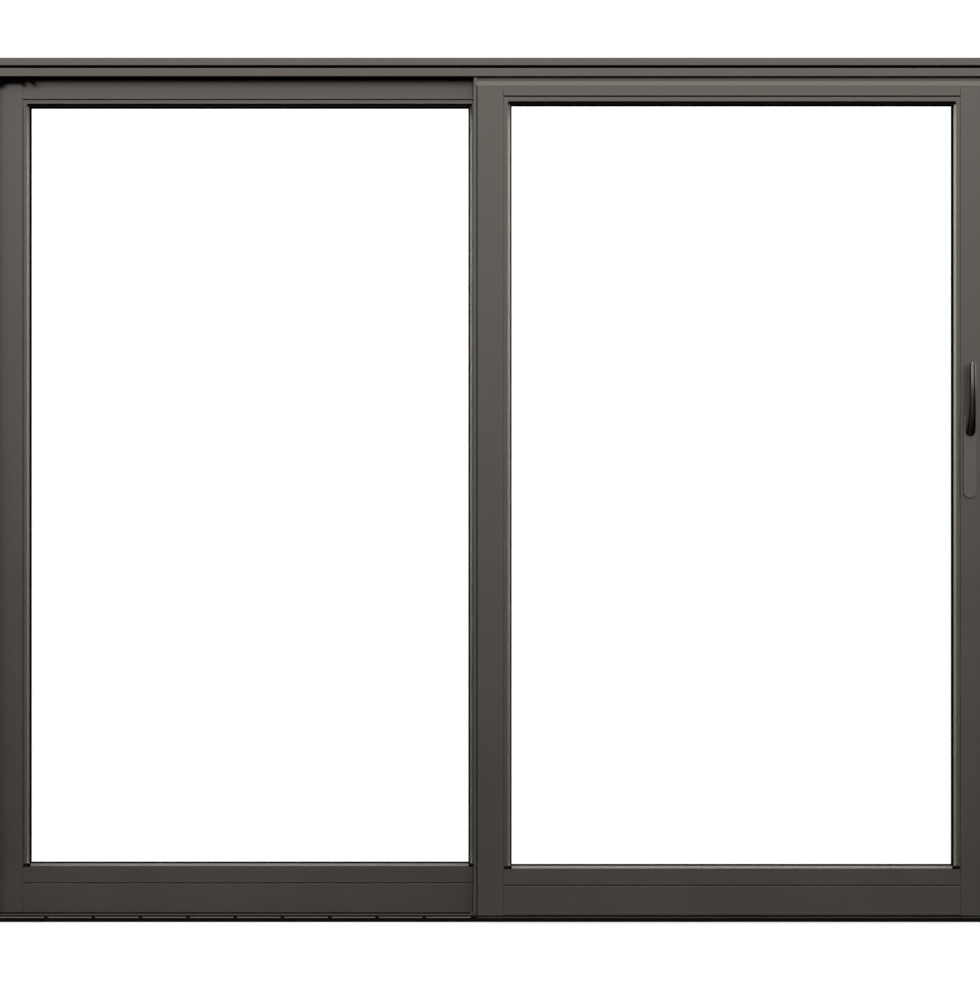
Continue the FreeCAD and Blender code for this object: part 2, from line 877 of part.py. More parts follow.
# Hook of the sliding meeting stile: base, stem and a return that lies behind the fixed stile's hook
def sliding_interlock():
    stem_left = interlock_middle - hook_stem_offset
    stem_right = stem_left + hook_return_wall
    base_front = slide_back + joint_gap
    tip = slide_back + hook_reach
    outline = [
        (stem_left - hook_base_reach, base_front),
        (stem_left - hook_base_reach, base_front + hook_wall),
        (stem_left, base_front + hook_wall),
        (stem_left, tip, soft_edge),
        (stem_left + hook_return_length, tip, small_edge),
        (stem_left + hook_return_length, tip - hook_return_wall, small_edge),
        (stem_right, tip - hook_return_wall),
        (stem_right, base_front),
    ]
    return along_z(outline, sill_nosing_height, slide_top - hook_end_gap)


# The fixed stile's hook is the same extrusion turned half round in the middle of the gap
def fixed_interlock():
    hook = sliding_interlock()
    gap_middle = (slide_back + fixed_front) / 2
    hook.rotate(Vector(interlock_middle, gap_middle, 0), Vector(0, 0, 1), 180)
    return hook


# Bevelled strip on top of the sliding panel, with a hollow tongue that runs in the head
def top_guide():
    foot = slide_top + seat_gap
    shoulder = slide_top + guide_strip_height
    tongue_front = track_centre - guide_tongue_width / 2
    tongue_back = track_centre + guide_tongue_width / 2
    tongue_top = slide_top + guide_tongue_height
    outline = [
        (slide_front, foot),
        (slide_front, foot + guide_strip_lip),
        (slide_front + guide_bevel, shoulder, small_edge),
        (tongue_front, shoulder),
        (tongue_front, tongue_top, soft_edge),
        (tongue_back, tongue_top, soft_edge),
        (tongue_back, shoulder),
        (slide_back - guide_bevel, shoulder, small_edge),
        (slide_back, foot + guide_strip_lip),
        (slide_back, foot),
    ]
    hollow = rectangle(
        tongue_front + guide_wall, tongue_back - guide_wall, foot + guide_wall, tongue_top - guide_wall
    )
    return along_x(outline, -meeting_overlap, panel_edge, [hollow])


# Grooved wheel with its axle, turned about the axle's line
def roller_wheel(middle_x):
    half = wheel_width / 2
    half_groove = wheel_groove_width / 2
    floor = half_groove - wheel_groove
    half_axle = axle_length / 2
    outline = [
        (0, -half_axle),
        (axle_radius, -half_axle),
        (axle_radius, -half),
        (wheel_radius, -half),
        (wheel_radius, -half_groove),
        (wheel_radius - wheel_groove, -half_groove),
        (wheel_radius - wheel_groove, half_groove),
        (wheel_radius, half_groove),
        (wheel_radius, half),
        (axle_radius, half),
        (axle_radius, half_axle),
        (0, half_axle),
    ]
    place = lambda p: Vector(middle_x + p.x, track_centre + p.y, axle_height)
    face = Part.Face(rounded_wire(outline, place))
    return face.revolve(Vector(middle_x, track_centre, axle_height), Vector(0, 1, 0), 360)


# Bracket that hangs in the bottom rail's pocket and holds a wheel between two cheeks
def roller_housing(middle_x):
    top = panel_base + roller_pocket_height - seat_gap
    foot = track_top + housing_foot_gap
    outer = housing_width / 2
    inner = outer - housing_wall
    outline = [
        (track_centre - outer, foot),
        (track_centre - outer, top),
        (track_centre + outer, top),
        (track_centre + outer, foot),
        (track_centre + inner, foot),
        (track_centre + inner, top - housing_wall),
        (track_centre - inner, top - housing_wall),
        (track_centre - inner, foot),
    ]
    bracket = along_x(outline, middle_x - housing_length / 2, middle_x + housing_length / 2)
    start = Vector(middle_x, track_centre - housing_width, axle_height)
    hole_radius = axle_radius + axle_clearance
    return bracket.cut(Part.makeCylinder(hole_radius, 2 * housing_width, start, Vector(0, 1, 0)))


# Slim plate with round ends and a bevelled front edge
def handle_plate():
    half = plate_width / 2
    top = handle_height + plate_top
    bottom = handle_height - plate_bottom
    outline = rectangle(handle_x - half, handle_x + half, bottom, top, (plate_width - round_end_flat) / 2)
    plate = along_y(outline, plate_front, slide_front - joint_gap)
    plate_middle = (plate_front + slide_front) / 2
    front_edges = [edge for edge in plate.Edges if edge.BoundBox.YMax < plate_middle]
    return plate.makeChamfer(plate_edge, front_edges)


# Lever: a round hub, an elbow, a slower bend up into the grip, a gentle lean back and a round end
def handle_lever():
    hub_start = plate_front - seat_gap
    half_lever = lever_width / 2
    half_thickness = lever_thickness / 2
    half_section = [
        (0, -half_thickness),
        (half_lever - lever_bevel, -half_thickness),
        (half_lever, lever_bevel - half_thickness),
        (half_lever, half_thickness - lever_bevel),
        (half_lever - lever_bevel, half_thickness),
        (0, half_thickness),
    ]
    section = half_section[1:-1] + [(-u, v) for u, v in reversed(half_section[1:-1])]

    def crossing(outline, place, inward):
        return Part.Face(rounded_wire(outline, lambda p: place + Vector(p.x, 0, 0) + inward * p.y))

    upwards = Vector(0, 0, 1)
    pivot = Vector(handle_x, hub_start, handle_height)
    elbow_start = pivot - Vector(0, lever_reach, 0)
    pieces = [crossing(section, pivot, upwards).extrude(elbow_start - pivot)]

    elbow_turn = math.radians(lever_elbow_turn)
    elbow_rise = lever_elbow_radius * (1 - math.cos(elbow_turn))
    slow_rise = lever_rise_radius * math.cos(elbow_turn)
    lean_rise = lever_length - elbow_rise - slow_rise - half_lever
    lean = math.asin(lean_rise / lever_lean_radius)

    place = elbow_start
    inward = upwards
    turned = 0
    turns = [
        (lever_elbow_radius, elbow_turn),
        (lever_rise_radius, math.pi / 2 - elbow_turn),
        (lever_lean_radius, lean),
    ]
    for radius, turn in turns:
        centre = place + inward * radius
        foot = crossing(section, place, inward)
        pieces.append(foot.revolve(centre, Vector(1, 0, 0), -math.degrees(turn)))
        turned += turn
        inward = Vector(0, math.sin(turned), math.cos(turned))
        place = centre - inward * radius

    pieces.append(crossing(half_section, place, inward).revolve(place, inward, -180))
    hub = Part.makeCylinder(hub_radius, hub_depth, pivot, Vector(0, -1, 0))
    return hub.fuse(pieces).removeSplitter()


os.makedirs("parts", exist_ok=True)

inner_channel_middle = track_centre
outer_channel_middle = fixed_front + panel_thickness / 2

save("head", head())
save("head_fascia", head_fascia())
save("right_jamb", right_jamb().cut(screw_holes(outer_channel_middle)))
save("left_jamb", mirrored(right_jamb().cut(screw_holes(inner_channel_middle))))
save("right_jamb_fascia", right_jamb_fascia())
save("left_jamb_fascia", mirrored(right_jamb_fascia()))
save("sill", sill())
save("roller_track", roller_track())
strip_end = box_inner - seat_gap
save(
    "sill_base_strip",
    base_strip(-strip_end, plug_left - joint_gap),
    base_strip(plug_right + joint_gap, strip_end),
)
save("drain_cover", drain_cover())
save("sill_plug", sill_plug())
save("head_stop", head_stop())
save("lock_keeper", lock_plate(box_inner - joint_gap - faceplate_thickness, keeper_width, keeper_length))

save("fixed_outer_stile", in_fixed_panel(outer_stile(panel_base, fixed_top)))
save("fixed_meeting_stile", in_fixed_panel(meeting_stile(panel_base, fixed_top)))
save("fixed_interlock", fixed_interlock())
save("fixed_top_rail", in_fixed_panel(top_rail(fixed_top)))
save("fixed_bottom_rail", in_fixed_panel(bottom_rail()))
save("fixed_top_bead", in_fixed_panel(top_bead()))
save("fixed_bottom_bead", in_fixed_panel(bottom_bead()))
save("fixed_side_beads", *[in_fixed_panel(bead) for bead in side_beads()])
save("fixed_glass", *[in_fixed_panel(pane) for pane in glass()])
save("fixed_glass_spacer", in_fixed_panel(spacer()))
save("fixed_gasket", *[in_fixed_panel(seal) for seal in gaskets()])
save("fixed_setting_blocks", *[in_fixed_panel(rest) for rest in setting_blocks()])
save("fixed_head_filler", fixed_head_filler())

stile_foot = panel_base - stile_foot_gap
save("lock_stile", straddling_track(outer_stile(stile_foot, slide_top), stile_foot))
save("sliding_meeting_stile", straddling_track(meeting_stile(stile_foot, slide_top), stile_foot))
save("sliding_interlock", sliding_interlock())
save("sliding_top_rail", top_rail(slide_top))
save("sliding_bottom_rail", bottom_rail())
save("sliding_top_bead", top_bead())
save("sliding_bottom_bead", bottom_bead())
save("sliding_side_beads", *side_beads())
save("sliding_glass", *glass())
save("sliding_glass_spacer", spacer())
save("sliding_gasket", *gaskets())
save("sliding_setting_blocks", *setting_blocks())
save("top_guide", top_guide())
save("roller_housings", *[roller_housing(middle) for middle in roller_middles])
save("roller_wheels", *[roller_wheel(middle) for middle in roller_middles])
save("handle_plate", handle_plate())
save("lock_faceplate", lock_plate(panel_edge + joint_gap, faceplate_width, faceplate_length))
save("handle_lever", handle_lever())
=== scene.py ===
import json
import math
import bmesh
import bpy
from mathutils import Matrix, Vector


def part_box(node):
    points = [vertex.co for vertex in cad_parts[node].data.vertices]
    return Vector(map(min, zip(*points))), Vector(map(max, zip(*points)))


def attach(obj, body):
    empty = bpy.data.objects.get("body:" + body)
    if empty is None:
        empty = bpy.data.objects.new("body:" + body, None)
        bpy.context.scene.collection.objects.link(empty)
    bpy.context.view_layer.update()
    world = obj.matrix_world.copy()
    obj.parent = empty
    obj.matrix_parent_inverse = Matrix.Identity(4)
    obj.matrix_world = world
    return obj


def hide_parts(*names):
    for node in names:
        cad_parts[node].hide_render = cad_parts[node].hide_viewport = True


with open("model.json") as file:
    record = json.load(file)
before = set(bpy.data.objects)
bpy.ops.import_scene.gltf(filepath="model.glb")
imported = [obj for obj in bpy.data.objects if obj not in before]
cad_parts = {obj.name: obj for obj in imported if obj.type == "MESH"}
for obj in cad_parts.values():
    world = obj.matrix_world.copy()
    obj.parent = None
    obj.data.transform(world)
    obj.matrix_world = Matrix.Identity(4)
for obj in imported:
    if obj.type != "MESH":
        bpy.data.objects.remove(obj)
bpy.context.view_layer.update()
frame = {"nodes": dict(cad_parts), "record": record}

nodes = frame["nodes"]
slotOfNode = {part["node"]: part["material_slot"] for part in frame["record"]["subparts"]}
print("frame loaded:", len(nodes), "nodes")


# One socket of a node tree. Arithmetic on it adds Math nodes.
class Flow:
    def __init__(self, nodeTree, socket):
        self.nodeTree = nodeTree
        self.socket = socket

    def calculate(self, operation, left, right):
        return self.nodeTree.add("ShaderNodeMath", {"operation": operation}, {0: left, 1: right})

    def __add__(self, other):
        return self.calculate("ADD", self, other)

    def __radd__(self, other):
        return self.calculate("ADD", other, self)

    def __sub__(self, other):
        return self.calculate("SUBTRACT", self, other)

    def __rsub__(self, other):
        return self.calculate("SUBTRACT", other, self)

    def __mul__(self, other):
        return self.calculate("MULTIPLY", self, other)

    def __rmul__(self, other):
        return self.calculate("MULTIPLY", other, self)

    def __pow__(self, other):
        return self.calculate("POWER", self, other)

    def __gt__(self, other):
        return self.calculate("GREATER_THAN", self, other)


class NodeTree:
    def __init__(self, tree):
        self.tree = tree

    # Any node: its settings first, then the values or flows of its sockets
    def add(self, kind, settings, values, output=0):
        node = self.tree.nodes.new(kind)
        for name, value in settings.items():
            setattr(node, name, value)
        for name, value in values.items():
            if isinstance(value, Flow):
                self.tree.links.new(value.socket, node.inputs[name])
            else:
                node.inputs[name].default_value = value
        return Flow(self, node.outputs[output]) if node.outputs else None


# A material built from nodes around one Principled shader
class Finish(NodeTree):
    def __init__(self, name, constants):
        self.material = bpy.data.materials.new(name)
        self.material.use_nodes = True
        super().__init__(self.material.node_tree)
        self.shader = self.tree.nodes["Principled BSDF"]
        self.surface = self.tree.nodes["Material Output"].inputs["Surface"]
        for socketName, value in constants.items():
            self.shader.inputs[socketName].default_value = value

    def drive(self, socketName, flow):
        self.tree.links.new(flow.socket, self.shader.inputs[socketName])

    def place(self, scale=(1.0, 1.0, 1.0)):
        place = self.add("ShaderNodeTexCoord", {}, {}, "Object")
        return self.add("ShaderNodeMapping", {}, {"Vector": place, "Scale": scale})

    def noise(self, place, scale=1.0, detail=2.0):
        return self.add("ShaderNodeTexNoise", {}, {"Vector": place, "Scale": scale, "Detail": detail}, "Fac")

    def mixColours(self, factor, first, second):
        settings = {"data_type": "RGBA", "blend_type": "MIX"}
        return self.add("ShaderNodeMix", settings, {"Factor": factor, 6: first, 7: second}, 2)

    def bump(self, height, depth):
        inputs = {"Height": height, "Strength": 1.0, "Distance": depth}
        self.drive("Normal", self.add("ShaderNodeBump", {}, inputs))


# Finishes

bronzePaint = {
    "darkTone": (0.0955, 0.0870, 0.0770),
    "lightTone": (0.1095, 0.0995, 0.0880),
    "metallic": 0.9,
    "roughness": 0.3,
    "handleRoughness": 0.24,
    "roughnessSpread": 0.05,
    "mottleScale": 4.0,
    "mottleShare": 0.6,  # of the tone
    "grainShare": 0.4,
    "grainScale": 1300.0,  # flakes of about 0.8 mm
    "grainDepth": 0.0000022,
    "dieLinePitch": 240.0,  # lines that the die leaves along an extrusion
    "dieLineStretch": 0.35,
    "dieLineDepth": 0.000002,
    "dieLineSheen": 0.05,
    "castPitch": 90.0,  # on the handle, which has no such lines
    "sillPaintedShade": 0.84,  # painted shade on the sill, drain cover and track, painted light on the handle plate
    "coverPaintedShade": 0.85,
    "trackPaintedShade": 0.5,
    "platePaintedLight": 1.16,
}


# Satin bronze paint on extruded aluminium, with faint lines along the extrusion.
# Its tone is scaled by the last argument: below 1 that is painted shade, above 1 painted light
def makeBronzePaint(name, roughness, stretch, shade=1.0):
    values = bronzePaint
    darkTone, lightTone = [
        [shade * part for part in values[tone]] + [1.0] for tone in ("darkTone", "lightTone")
    ]
    finish = Finish(name, {"Roughness": roughness, "Metallic": values["metallic"], "IOR": 1.5})
    mottle = finish.noise(finish.place(), values["mottleScale"], detail=4.0)
    grain = finish.noise(finish.place(), values["grainScale"], detail=1.0)
    dieLines = finish.noise(finish.place(stretch), detail=3.0)
    tone = mottle * values["mottleShare"] + grain * values["grainShare"]
    finish.drive("Base Color", finish.mixColours(tone, darkTone, lightTone))
    mottled = roughness + (mottle - 0.5) * values["roughnessSpread"]
    finish.drive("Roughness", mottled + (dieLines - 0.5) * values["dieLineSheen"])
    finish.bump(dieLines * (values["dieLineDepth"] / values["grainDepth"]) + grain, values["grainDepth"])
    return finish.material


blackPlastic = {
    "tone": (0.0011, 0.0009, 0.0007, 1.0),
    "worn": (0.0034, 0.0026, 0.0021, 1.0),
    "roughness": 0.5,
    "roughnessSpread": 0.2,
    "specular": 0.04,
    "scuffs": (6.0, 90.0, 90.0),
    "grainScale": 900.0,
    "grainDepth": 0.00001,
}


def makeBlackPlastic():
    values = blackPlastic
    constants = {"Roughness": values["roughness"], "IOR": 1.45, "Specular IOR Level": values["specular"]}
    finish = Finish("black plastic", constants)
    grain = finish.noise(finish.place(), values["grainScale"])
    scuffs = finish.noise(finish.place(values["scuffs"]), detail=4.0)
    finish.drive("Base Color", finish.mixColours(scuffs, values["tone"], values["worn"]))
    finish.drive("Roughness", values["roughness"] + (grain - 0.5) * values["roughnessSpread"])
    finish.bump(grain, values["grainDepth"])
    return finish.material


gasketRubber = {
    "tone": (0.0007, 0.0007, 0.0007, 1.0),
    "bloom": (0.0021, 0.0020, 0.0019, 1.0),
    "roughness": 0.65,
    "roughnessSpread": 0.25,
    "specular": 0.035,
    "bloomScale": 160.0,
    "bloomDepth": 0.00002,
}


def makeGasketRubber():
    values = gasketRubber
    constants = {"Roughness": values["roughness"], "IOR": 1.45, "Specular IOR Level": values["specular"]}
    finish = Finish("gasket rubber", constants)
    bloom = finish.noise(finish.place(), values["bloomScale"], detail=5.0)
    finish.drive("Base Color", finish.mixColours(bloom, values["tone"], values["bloom"]))
    finish.drive("Roughness", values["roughness"] + (bloom - 0.5) * values["roughnessSpread"])
    finish.bump(bloom, values["bloomDepth"])
    return finish.material


brushedSteel = {
    "dark": (0.34, 0.335, 0.33, 1.0),
    "light": (0.52, 0.515, 0.505, 1.0),
    "roughness": 0.33,
    "roughnessSpread": 0.3,
    "scratches": (900.0, 900.0, 14.0),  # fine across, long up and down
    "scratchDepth": 0.000006,
}


def makeBrushedSteel():
    values = brushedSteel
    finish = Finish("brushed steel", {"Metallic": 1.0, "Roughness": values["roughness"]})
    scratches = finish.noise(finish.place(values["scratches"]), detail=3.0)
    finish.drive("Base Color", finish.mixColours(scratches, values["dark"], values["light"]))
    finish.drive("Roughness", values["roughness"] + (scratches - 0.5) * values["roughnessSpread"])
    finish.bump(scratches, values["scratchDepth"])
    return finish.material


spacerBar = {
    "metal": (0.055, 0.055, 0.057, 1.0),
    "holeShade": (0.006, 0.006, 0.006, 1.0),
    "roughness": 0.45,
    "holePitch": 420.0,
    "holeSize": 0.22,
    "holeDepth": 0.0001,
}


# Dark anodised bar with fine perforations towards the gap between the panes; the perforations are painted
# near black, as painted shade inside the holes
def makeSpacerBar():
    values = spacerBar
    finish = Finish("spacer bar", {"Metallic": 1.0, "Roughness": values["roughness"]})
    settings = {"feature": "F1", "distance": "EUCLIDEAN"}
    inputs = {"Vector": finish.place(), "Scale": values["holePitch"], "Randomness": 0.0}
    solid = finish.add("ShaderNodeTexVoronoi", settings, inputs, "Distance") > values["holeSize"]
    finish.drive("Base Color", finish.mixColours(solid, values["holeShade"], values["metal"]))
    finish.drive("Metallic", solid)
    finish.bump(solid, values["holeDepth"])
    return finish.material


clearGlass = {
    "tint": (0.972, 0.985, 0.978, 1.0),
    "facingShine": 0.035,
    "grazingShine": 0.75,
    "grazingPower": 5.0,
    "glossRoughness": 0.02,
}


# Panes pass light straight through and shine more towards grazing angles
def makeClearGlass():
    values = clearGlass
    finish = Finish("clear glass", {})
    facing = finish.add("ShaderNodeLayerWeight", {}, {"Blend": 0.5}, "Facing")
    shine = values["facingShine"] + values["grazingShine"] * facing ** values["grazingPower"]
    through = finish.add("ShaderNodeBsdfTransparent", {}, {"Color": values["tint"]})
    gloss = finish.add("ShaderNodeBsdfGlossy", {}, {"Roughness": values["glossRoughness"]})
    mixed = finish.add("ShaderNodeMixShader", {}, {0: shine, 1: through, 2: gloss})
    finish.tree.nodes.remove(finish.shader)
    finish.tree.links.new(mixed.socket, finish.surface)
    return finish.material


def makeFinishes():
    values = bronzePaint
    rough = values["roughness"]
    pitch, along = values["dieLinePitch"], values["dieLineStretch"]
    upward = (pitch, pitch, along)  # the lines of an upright, and of a rail
    across = (along, pitch, pitch)
    cast = (values["castPitch"],) * 3
    return {
        "uprights": makeBronzePaint("bronze uprights", rough, upward),
        "rails": makeBronzePaint("bronze rails", rough, across),
        # The sill, cover and track copies carry painted shade, the plate's copy painted light
        "sill": makeBronzePaint("bronze sill", rough, across, values["sillPaintedShade"]),
        "drain_cover": makeBronzePaint("bronze cover", rough, across, values["coverPaintedShade"]),
        "roller_track": makeBronzePaint("bronze track", rough, across, values["trackPaintedShade"]),
        "plate": makeBronzePaint("bronze plate", rough, cast, values["platePaintedLight"]),
        "handle": makeBronzePaint("bronze handle", values["handleRoughness"], cast),
        "black_plastic": makeBlackPlastic(),
        "black_rubber": makeGasketRubber(),
        "clear_glass": makeClearGlass(),
        "steel": makeBrushedSteel(),
        "spacer_bar": makeSpacerBar(),
    }


finishes = makeFinishes()
uprightWords = ("jamb", "stile", "side_beads", "interlock")


def finishOfNode(name):
    if name.startswith("handle_"):
        return finishes["handle"]
    if slotOfNode[name] != "bronze_frame":
        return finishes[slotOfNode[name]]
    if name in ("sill", "drain_cover", "roller_track"):
        return finishes[name]
    if any(word in name for word in uprightWords):
        return finishes["uprights"]
    return finishes["rails"]


for name, node in nodes.items():
    node.data.materials.clear()
    node.data.materials.append(finishOfNode(name))
print("nodes dressed")


# Helpers for the shapes

making = {
    "sharpAngle": 38.0,  # degrees; shading breaks at sharper edges
    "roundPoints": 56,  # around a round end
    "nearZero": 0.0000001,
}


def vertsOf(parts):
    return [part for part in parts if isinstance(part, bmesh.types.BMVert)]


def facesOf(parts):
    return [part for part in parts if isinstance(part, bmesh.types.BMFace)]


def edgesAmong(shape, verts):
    return [edge for edge in shape.edges if all(vert in verts for vert in edge.verts)]


def addPiece(name, shape, finish, body, replaced=None):
    bmesh.ops.recalc_face_normals(shape, faces=shape.faces)
    mesh = bpy.data.meshes.new(name)
    shape.to_mesh(mesh)
    shape.free()
    mesh.polygons.foreach_set("use_smooth", [True] * len(mesh.polygons))
    mesh.set_sharp_from_angle(angle=math.radians(making["sharpAngle"]))
    mesh.materials.append(finish)
    piece = bpy.data.objects.new(name, mesh)
    bpy.context.scene.collection.objects.link(piece)
    piece.modifiers.new("even normals", "WEIGHTED_NORMAL").keep_sharp = True
    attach(piece, body)
    if replaced:
        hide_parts(replaced)


# A flat outline pushed into a solid; both of its ends come back
def pushOutline(shape, outline, push):
    near = [shape.verts.new(point) for point in outline]
    far = vertsOf(bmesh.ops.extrude_face_region(shape, geom=[shape.faces.new(near)])["geom"])
    bmesh.ops.translate(shape, verts=far, vec=push)
    return near, far


def soften(shape, edges, width, segments=2):
    bmesh.ops.bevel(
        shape, geom=edges, offset=width, offset_type="OFFSET", segments=segments,
        profile=0.5, affect="EDGES", material=-1, clamp_overlap=True,
    )


# A bar between two corners, with rounded edges
def addBar(shape, low, high, rounding):
    left, front, foot = low
    right, back, top = high
    outline = [(left, front, foot), (left, back, foot), (left, back, top), (left, front, top)]
    near, far = pushOutline(shape, outline, (right - left, 0.0, 0.0))
    soften(shape, list({edge for vert in near + far for edge in vert.link_edges}), rounding)


# A flat body with round ends; its front ring comes back
def roundEnded(shape, middle, halfWidth, foot, top, front, back):
    points, zero = making["roundPoints"], -making["nearZero"]
    made = bmesh.ops.create_circle(shape, cap_ends=True, segments=points, radius=halfWidth)["verts"]
    bmesh.ops.rotate(shape, verts=made, matrix=Matrix.Rotation(math.radians(90.0), 3, "X"))
    upper = [vert for vert in made if vert.co.z >= zero]
    lower = [vert for vert in made if vert.co.z < zero]
    bmesh.ops.translate(shape, verts=upper, vec=(middle, back, top - halfWidth))
    bmesh.ops.translate(shape, verts=lower, vec=(middle, back, foot + halfWidth))
    faces = list({face for vert in made for face in vert.link_faces})
    pushed = vertsOf(bmesh.ops.extrude_face_region(shape, geom=faces)["geom"])
    bmesh.ops.translate(shape, verts=pushed, vec=(0.0, front - back, 0.0))
    return pushed


# A section given in mm, carried through stations
def sweep(shape, stations, section):
    points = [Vector((across / 1000, towards / 1000, 0.0)) for across, towards in section]
    end = [shape.faces.new([shape.verts.new(stations[0] @ point) for point in points])]
    for before, now in zip(stations, stations[1:]):
        grown = bmesh.ops.extrude_face_region(shape, geom=end)["geom"]
        end = facesOf(grown)
        bmesh.ops.transform(shape, matrix=now @ before.inverted(), verts=vertsOf(grown))


def joinShapes(shape, other):
    mesh = bpy.data.meshes.new("joined")
    other.to_mesh(mesh)
    other.free()
    shape.from_mesh(mesh)
    bpy.data.meshes.remove(mesh)


# Lever

lever = {
    "cover": (  # mm across and mm towards the room, seen along the lever
        (7.0, -3.4), (7.0, 1.9), (6.9, 2.8), (6.6, 3.5), (6.0, 3.9), (5.0, 4.1),
        (3.8, 0.6), (2.6, 0.6), (1.7, 4.95), (0.9, 5.25), (-3.0, 5.25), (-3.6, 5.0),
        (-4.0, 4.5), (-4.1, 3.6), (-4.2, -3.4),
    ),
    "core": (
        (6.4, -5.2), (6.9, -4.6), (6.9, -3.0), (-3.0, -3.0), (-3.0, 3.6), (-4.3, 3.4),
        (-5.2, 2.4), (-6.0, 0.8), (-6.9, -2.4), (-7.5, -4.4), (-7.0, -5.2),
    ),
    "grooveShade": ((2.75, 0.3), (3.65, 0.3), (3.65, 1.0), (2.75, 1.0)),  # painted shade on the floor of the cover's groove
    "reach": 0.004,  # straight out of the plate
    "bends": (  # radius, degrees, steps
        (0.034, 62.0, 16),
        (0.145, 24.0, 14),
        (0.380, 11.86, 10),
    ),
    "flareLength": 0.100,  # the root narrows into the grip over this length
    "rootWidth": 1.36,  # against the grip, like the depth and the tip's width
    "rootDepth": 1.70,
    "tipLength": 0.0083,
    "tipSteps": 7,
    "tipWidth": 0.12,
    "tipThinning": 0.5,
    "collarDepth": 0.0022,
    "collarRadius": 0.0106,
}


# Where the section stands at one station of the lever, and how large it is there
def leverStation(place, heading, width, depth):
    inward = Vector((0.0, math.sin(heading), math.cos(heading)))
    onward = Vector((0.0, -math.cos(heading), math.sin(heading)))
    stand = Matrix((Vector((1.0, 0.0, 0.0)), -inward, -onward)).transposed().to_4x4()
    return Matrix.Translation(place) @ stand @ Matrix.Diagonal((width, depth, 1.0, 1.0))


# Stations out of the plate, up through an elbow and back towards the door
def leverStations(pivot):
    values = lever
    place = pivot - Vector((0.0, values["reach"], 0.0))
    travelled = values["reach"]
    heading = 0.0
    path = [(pivot, 0.0, 0.0), (place, heading, travelled)]
    for radius, degrees, steps in values["bends"]:
        centre = place + Vector((0.0, math.sin(heading), math.cos(heading))) * radius
        for step in range(steps):
            heading += math.radians(degrees) / steps
            travelled += radius * math.radians(degrees) / steps
            place = centre - Vector((0.0, math.sin(heading), math.cos(heading))) * radius
            path.append((place, heading, travelled))
    stations = []
    for place, heading, travelled in path:
        left = max(0.0, 1.0 - travelled / values["flareLength"])
        flare = left * left * (3.0 - 2.0 * left)
        width = 1.0 + (values["rootWidth"] - 1.0) * flare
        depth = 1.0 + (values["rootDepth"] - 1.0) * flare
        stations.append(leverStation(place, heading, width, depth))
    onward = Vector((0.0, -math.cos(heading), math.sin(heading)))
    for step in range(1, values["tipSteps"] + 1):
        angle = math.pi / 2 * step / values["tipSteps"]
        width = max(math.cos(angle), values["tipWidth"])
        depth = 1.0 - values["tipThinning"] * math.sin(angle) ** 3
        there = place + onward * values["tipLength"] * math.sin(angle)
        stations.append(leverStation(there, heading, width, depth))
    return stations


# A crowned and grooved bronze cover over a black core with a round foot
def makeLever():
    values = lever
    low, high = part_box("handle_lever")
    radius = (high[0] - low[0]) / 2
    pivot = Vector(((low[0] + high[0]) / 2, high[1], low[2] + radius))
    stations = leverStations(pivot)
    shape = bmesh.new()
    sweep(shape, stations, values["cover"])
    addPiece("lever", shape, finishes["handle"], "handle_lever_body", "handle_lever")

    shape = bmesh.new()
    sweep(shape, stations, values["core"])
    # The black strip on the groove's floor is painted shade
    sweep(shape, stations, values["grooveShade"])
    foot = bmesh.new()
    collar = values["collarRadius"]
    front = high[1] - values["collarDepth"]
    roundEnded(foot, pivot[0], collar, pivot[2] - collar, pivot[2] + collar, front, high[1])
    joinShapes(shape, foot)
    addPiece("leverCore", shape, finishes["black_plastic"], "handle_lever_body")


# Handle plate: round ends, a small softened edge and a thin black rim behind it that shows around it as
# painted shade

plate = {
    # gasketEdge is how far the black rim of painted shade shows past the plate
    "gasketEdge": 0.0007,
    "shadeRimDepth": 0.0011,
    "softness": 0.0008,
}


def makePlate():
    values = plate
    low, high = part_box("handle_plate")
    middle = (low[0] + high[0]) / 2
    halfWidth = (high[0] - low[0]) / 2
    edge = values["gasketEdge"]
    back = high[1] - values["shadeRimDepth"]
    shape = bmesh.new()
    front = roundEnded(shape, middle, halfWidth - edge, low[2] + edge, high[2] - edge, low[1], back)
    soften(shape, edgesAmong(shape, front), values["softness"], 3)
    addPiece("handlePlate", shape, finishes["plate"], "sliding_panel", "handle_plate")

    # The black rim: painted shade around the plate's edge
    shape = bmesh.new()
    roundEnded(shape, middle, halfWidth, low[2], high[2], back, high[1])
    addPiece("plateShadeRim", shape, finishes["black_rubber"], "sliding_panel")


makeLever()
makePlate()
print("handle made")


# Stop in the head: a block with a spring arm and a foot, black all over

headStop = {
    "front": -0.026,
    "back": -0.0142,
    "outline": (  # across and up, m
        (-1.1650, 2.0002), (-1.1650, 1.9590), (-1.1450, 1.9590), (-1.1420, 1.9668),
        (-1.1030, 1.9668), (-1.1014, 1.9604), (-1.0950, 1.9604), (-1.0936, 1.9630),
        (-1.0930, 1.9716), (-1.0836, 1.9710), (-1.0786, 1.9640), (-1.0740, 1.9604),
        (-1.0692, 1.9600), (-1.0684, 1.9616), (-1.0710, 1.9680), (-1.0740, 1.9734),
        (-1.0910, 1.9742), (-1.0920, 2.0002),
    ),
    "softness": 0.0004,
}


def makeHeadStop():
    values = headStop
    shape = bmesh.new()
    outline = [(across, values["back"], up) for across, up in values["outline"]]
    pushOutline(shape, outline, (0.0, values["front"] - values["back"], 0.0))
    soften(shape, shape.edges[:], values["softness"])
    addPiece("headStop", shape, finishes["black_plastic"], "frame", "head_stop")


makeHeadStop()
print("head stop made")
